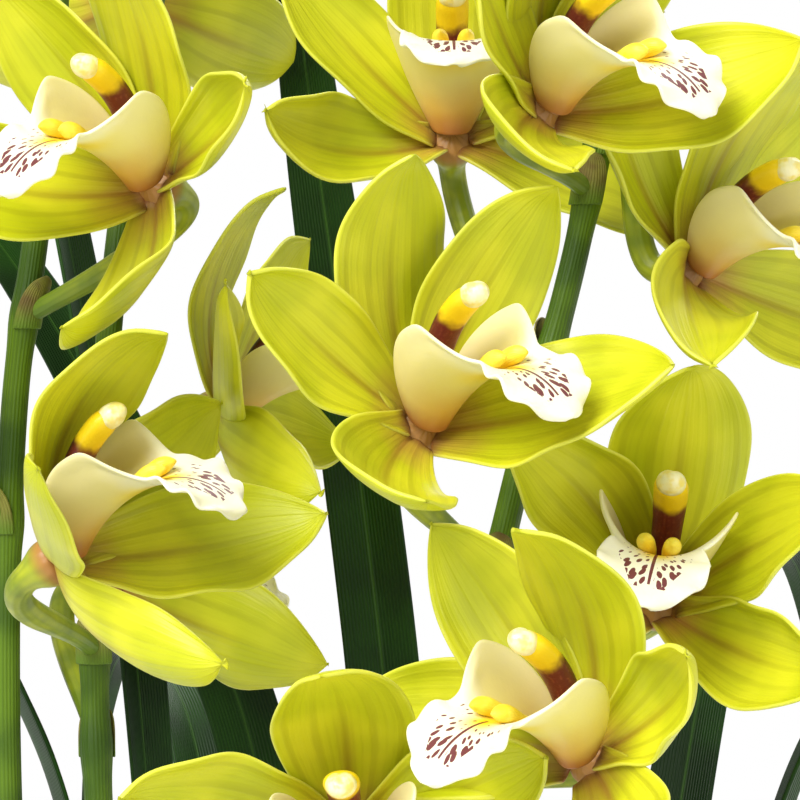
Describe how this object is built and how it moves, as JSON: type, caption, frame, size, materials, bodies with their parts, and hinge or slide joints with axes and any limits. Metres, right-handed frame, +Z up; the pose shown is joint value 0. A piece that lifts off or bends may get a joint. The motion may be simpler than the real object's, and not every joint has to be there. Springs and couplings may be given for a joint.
{
  "type": "potted orchid",
  "caption": "Cymbidium orchid in a plain tapered pot: upright spikes of yellow-green flowers with cream, maroon-spotted lips over long strap leaves.",
  "frame": {"origin": "centre of the pot's flat underside", "axes": "+Z up along the flower spikes; the flowers mostly face -Y"},
  "size_m": [0.482, 0.451, 0.8561],
  "materials": {
    "pot": "plain matt off-white pot with a rolled rim",
    "bark": "loose chips of orchid bark",
    "pseudobulb": "living green bulb wrapped in drying leaf sheaths",
    "leaf": "leathery dark green strap leaf, satin",
    "stem": "smooth olive green flower stem",
    "tepal": "waxy yellow-green petals and sepals with faint veins",
    "lip": "waxy cream lip with maroon spots and yellow ridges",
    "column": "waxy maroon column with a yellow tip"
  },
  "bodies": {
    "root": {"pot": "pot", "bark_medium": "bark", "pseudobulb_right": "pseudobulb", "pseudobulb_left": "pseudobulb", "pseudobulb_front": "pseudobulb", "leaf_tall_centre": "leaf", "leaf_right_arch": "leaf", "leaf_back_right": "leaf", "leaf_left_arch": "leaf", "leaf_tall_left": "leaf", "leaf_centre_left": "leaf", "leaf_back_left": "leaf", "leaf_front_left": "leaf", "leaf_front_right": "leaf", "leaf_front_short": "leaf", "spike_right": "stem", "spike_middle": "stem", "spike_left": "stem", "flower_centre_tepals": "tepal", "flower_centre_lip": "lip", "flower_centre_column": "column", "flower_low_right_tepals": "tepal", "flower_low_right_lip": "lip", "flower_low_right_column": "column", "flower_right_tepals": "tepal", "flower_right_lip": "lip", "flower_right_column": "column", "flower_top_centre_tepals": "tepal", "flower_top_centre_lip": "lip", "flower_top_centre_column": "column", "flower_top_right_tepals": "tepal", "flower_top_right_lip": "lip", "flower_top_right_column": "column", "flower_right_edge_tepals": "tepal", "flower_right_edge_lip": "lip", "flower_right_edge_column": "column", "flower_top_left_tepals": "tepal", "flower_top_left_lip": "lip", "flower_top_left_column": "column", "flower_left_tepals": "tepal", "flower_left_lip": "lip", "flower_left_column": "column", "flower_behind_left_tepals": "tepal", "flower_behind_left_lip": "lip", "flower_behind_left_column": "column", "flower_bottom_tepals": "tepal", "flower_bottom_lip": "lip", "flower_bottom_column": "column", "flower_back_left_tepals": "tepal", "flower_back_left_lip": "lip", "flower_back_left_column": "column", "flower_high_back_tepals": "tepal", "flower_high_back_lip": "lip", "flower_high_back_column": "column", "flower_crown_tepals": "tepal", "flower_crown_lip": "lip", "flower_crown_column": "column", "flower_far_left_tepals": "tepal", "flower_far_left_lip": "lip", "flower_far_left_column": "column"}
  },
  "joints": []
}
